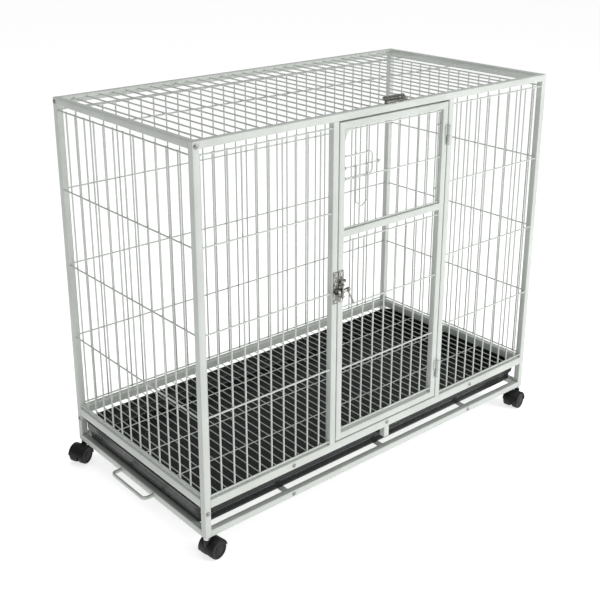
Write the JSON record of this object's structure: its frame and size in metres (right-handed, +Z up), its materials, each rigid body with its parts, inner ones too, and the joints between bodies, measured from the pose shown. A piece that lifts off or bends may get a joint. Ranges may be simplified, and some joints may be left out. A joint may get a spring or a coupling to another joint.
{
  "type": "wire rabbit cage",
  "caption": "Rectangular wire rabbit cage on casters: square-tube frame, wire walls, roof and floor, hinged front door with a feed door, slide-out tray.",
  "frame": {"origin": "on the ground under the middle of the bounding box", "axes": "+X along the front to the right, +Y from the front to the back, +Z up"},
  "size_m": [1.1521, 0.59, 0.94],
  "materials": {
    "frame_paint": "satin powder coat",
    "wire_paint": "satin powder coat",
    "latch_metal": "dull nickel plate",
    "bright_steel": "bright zinc",
    "tray_plastic": "matt moulded plastic",
    "caster_hood": "matt moulded plastic",
    "caster_wheel": "matt nylon tread"
  },
  "bodies": {
    "frame": {"post_front_left": "frame_paint", "post_front_right": "frame_paint", "post_back_left": "frame_paint", "post_back_right": "frame_paint", "top_rail_front": "frame_paint", "top_rail_back": "frame_paint", "top_rail_left": "frame_paint", "top_rail_right": "frame_paint", "floor_rail_front": "frame_paint", "floor_rail_back": "frame_paint", "floor_rail_left": "frame_paint", "floor_rail_right": "frame_paint", "lower_rail_front": "frame_paint", "lower_rail_back": "frame_paint", "lower_rail_left": "frame_paint", "lower_rail_right": "frame_paint", "door_post_left": "frame_paint", "door_post_right": "frame_paint", "wall_front_left": "wire_paint", "wall_front_right": "wire_paint", "wall_back": "wire_paint", "wall_left": "wire_paint", "wall_right": "wire_paint", "roof_grid": "wire_paint", "floor_grid": "wire_paint", "tray_support_bars": "frame_paint", "tray_stop": "frame_paint", "push_handle": "frame_paint", "upper_hinge_post_half": "frame_paint", "lower_hinge_post_half": "frame_paint", "latch_keeper": "latch_metal", "hasp_leaf": "latch_metal", "caster_front_left_stem": "bright_steel", "caster_front_right_stem": "bright_steel", "caster_back_left_stem": "bright_steel", "caster_back_right_stem": "bright_steel"},
    "door": {"door_frame": "frame_paint", "door_lower_mesh": "wire_paint", "door_gusset": "frame_paint", "upper_hinge_door_half": "frame_paint", "lower_hinge_door_half": "frame_paint", "latch_base": "latch_metal"},
    "feed_door": {"feed_door": "wire_paint"},
    "feed_door_bolt": {"feed_door_bolt": "wire_paint"},
    "latch_bolt": {"latch_bolt": "latch_metal"},
    "latch_lever": {"latch_lever": "latch_metal"},
    "hasp_flap": {"hasp_flap": "latch_metal"},
    "tray": {"tray": "tray_plastic"},
    "caster_front_left_swivel": {"caster_front_left_housing": "caster_hood"},
    "caster_front_left_wheel_pair": {"caster_front_left_wheels": "caster_wheel"},
    "caster_front_right_swivel": {"caster_front_right_housing": "caster_hood"},
    "caster_front_right_wheel_pair": {"caster_front_right_wheels": "caster_wheel"},
    "caster_back_left_swivel": {"caster_back_left_housing": "caster_hood"},
    "caster_back_left_wheel_pair": {"caster_back_left_wheels": "caster_wheel"},
    "caster_back_right_swivel": {"caster_back_right_housing": "caster_hood"},
    "caster_back_right_wheel_pair": {"caster_back_right_wheels": "caster_wheel"}
  },
  "joints": [
    {"name": "door_hinge", "type": "hinge", "parent": "frame", "child": "door", "pos_m": [0.17465, -0.2773, 0.52875], "axis": [0, 0, 1], "range_deg": [0, 160]},
    {"name": "feed_door_hinge", "type": "hinge", "parent": "door", "child": "feed_door", "pos_m": [0.1514, -0.2644, 0.778], "axis": [0, 0, -1], "range_deg": [-90, 0]},
    {"name": "feed_door_bolt_slide", "type": "slide", "parent": "feed_door", "child": "feed_door_bolt", "axis": [1, 0, 0], "range_m": [-0.0085, 0.011]},
    {"name": "latch_bolt_slide", "type": "slide", "parent": "door", "child": "latch_bolt", "axis": [1, 0, 0], "range_m": [-0.009, 0]},
    {"name": "latch_lever_turn", "type": "hinge", "parent": "latch_bolt", "child": "latch_lever", "pos_m": [-0.141, -0.2795, 0.529], "axis": [1, 0, 0], "range_deg": [-110, 5]},
    {"name": "hasp_hinge", "type": "hinge", "parent": "frame", "child": "hasp_flap", "pos_m": [0.0097, -0.2635, 0.9289], "axis": [1, 0, 0], "range_deg": [0, 130]},
    {"name": "tray_slide", "type": "slide", "parent": "frame", "child": "tray", "axis": [-1, 0, 0], "range_m": [0, 0.9]},
    {"name": "caster_front_left_swivel_joint", "type": "hinge", "parent": "frame", "child": "caster_front_left_swivel", "pos_m": [-0.5295, -0.2645, 0.048], "axis": [0, 0, 1], "continuous": true},
    {"name": "caster_front_left_axle", "type": "hinge", "parent": "caster_front_left_swivel", "child": "caster_front_left_wheel_pair", "pos_m": [-0.51267, -0.26213, 0.022], "axis": [-0.1392, 0.9903, 0], "continuous": true},
    {"name": "caster_front_right_swivel_joint", "type": "hinge", "parent": "frame", "child": "caster_front_right_swivel", "pos_m": [0.5295, -0.2645, 0.048], "axis": [0, 0, 1], "continuous": true},
    {"name": "caster_front_right_axle", "type": "hinge", "parent": "caster_front_right_swivel", "child": "caster_front_right_wheel_pair", "pos_m": [0.51276, -0.26745, 0.022], "axis": [0.1736, -0.9848, 0], "continuous": true},
    {"name": "caster_back_left_swivel_joint", "type": "hinge", "parent": "frame", "child": "caster_back_left_swivel", "pos_m": [-0.5295, 0.2645, 0.048], "axis": [0, 0, 1], "continuous": true},
    {"name": "caster_back_left_axle", "type": "hinge", "parent": "caster_back_left_swivel", "child": "caster_back_left_wheel_pair", "pos_m": [-0.54491, 0.25732, 0.022], "axis": [0.4226, -0.9063, 0], "continuous": true},
    {"name": "caster_back_right_swivel_joint", "type": "hinge", "parent": "frame", "child": "caster_back_right_swivel", "pos_m": [0.5295, 0.2645, 0.048], "axis": [0, 0, 1], "continuous": true},
    {"name": "caster_back_right_axle", "type": "hinge", "parent": "caster_back_right_swivel", "child": "caster_back_right_wheel_pair", "pos_m": [0.54592, 0.2689, 0.022], "axis": [-0.2588, 0.9659, 0], "continuous": true}
  ]
}
